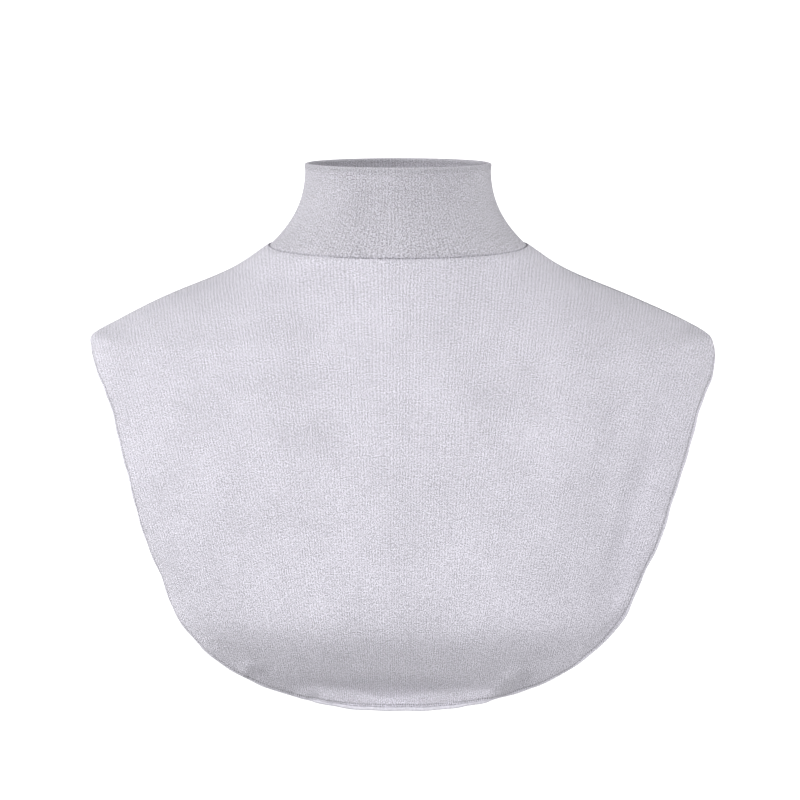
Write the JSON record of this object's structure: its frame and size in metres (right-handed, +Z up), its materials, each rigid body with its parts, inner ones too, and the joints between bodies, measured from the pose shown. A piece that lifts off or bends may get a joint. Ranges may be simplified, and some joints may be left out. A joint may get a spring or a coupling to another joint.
{
  "type": "turtleneck dickey",
  "caption": "Turtleneck dickey of fine jersey: a folded stand collar on a front and a back bib, sewn at the shoulders, open at the sides, with an overlocked edge, in its worn shape.",
  "frame": {"origin": "the centre of the neck seam, at the level of the seam's sides, where the dickey sits round the neck", "axes": "+X towards the wearer's left, which is the right of a front view, +Y towards the wearer's back, +Z up along the neck"},
  "size_m": [0.3784, 0.2227, 0.3309],
  "materials": {
    "jersey": "fine melange jersey, matt, pale lavender grey",
    "collar_jersey": "the same fine melange jersey, folded double",
    "overlock_thread": "close overlock stitches in lavender grey thread, slightly glossy"
  },
  "bodies": {
    "root": {"front_bib": "jersey", "back_bib": "jersey", "collar": "collar_jersey", "edging": "overlock_thread"}
  },
  "joints": []
}
